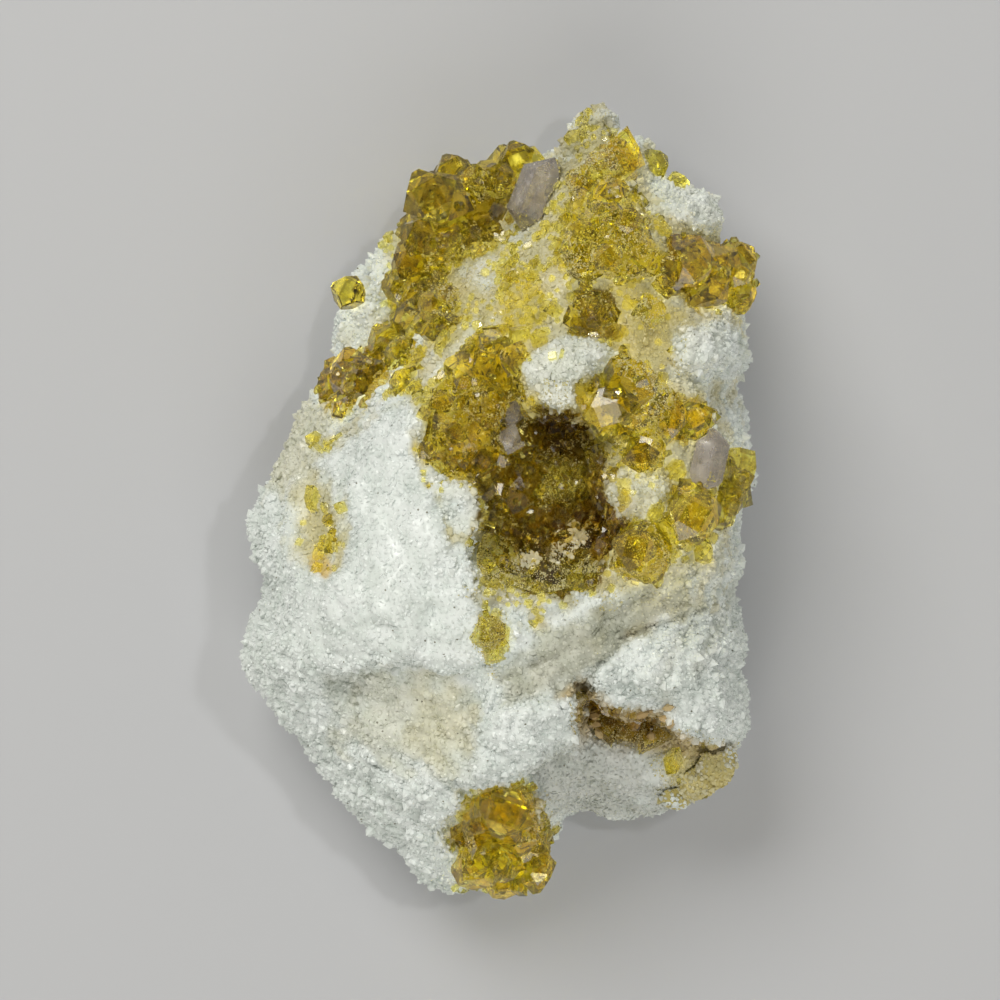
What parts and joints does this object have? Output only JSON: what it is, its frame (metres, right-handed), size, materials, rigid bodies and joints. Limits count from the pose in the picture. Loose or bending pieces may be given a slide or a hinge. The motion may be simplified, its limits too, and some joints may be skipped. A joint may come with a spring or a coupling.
{
  "type": "barite specimen",
  "caption": "Irregular white quartz druse with golden see-through barite crystals over its upper half and in a crystal-lined hollow, lying on a flat broken back; a mineral display piece.",
  "frame": {"origin": "centre of the bounding box at the flat broken back that the specimen rests on", "axes": "+Z out of the crystal-bearing face, +Y along the specimen's length towards its pointed crystal-rich end, +X to the right seen from +Z"},
  "size_m": [0.052, 0.0806, 0.0388],
  "materials": {
    "quartz": "sugary translucent white druse",
    "barite": "clear golden crystal with a glassy to frosted skin",
    "pale_crystal": "milky lilac grey crystal"
  },
  "bodies": {
    "root": {"quartz_matrix": "quartz", "barite_hollow_crust": "barite", "barite_cluster_upper_left": "barite", "barite_crystal_saddle": "barite", "barite_crystal_brow": "barite", "barite_crystal_terrace": "barite", "barite_crystal_slope": "barite", "barite_cluster_left_flank": "barite", "barite_cluster_upper_ridge": "barite", "barite_cluster_middle": "barite", "barite_cluster_right_shoulder": "barite", "barite_cluster_ridge_hollow": "barite", "barite_cluster_hollow_right": "barite", "barite_cluster_right_rim": "barite", "barite_cluster_right_edge": "barite", "barite_cluster_foot": "barite", "barite_cluster_lip": "barite", "barite_cluster_shelf_corner": "barite", "barite_cluster_undercut": "barite", "barite_crystal_left_edge": "barite", "barite_crystal_top_edge": "barite", "barite_crystal_shoulder": "barite", "barite_crystal_lower_right": "barite", "barite_crystal_pale": "barite", "barite_crystal_notch": "barite", "pale_crystal_right": "pale_crystal", "pale_crystal_upper": "pale_crystal"}
  },
  "joints": []
}
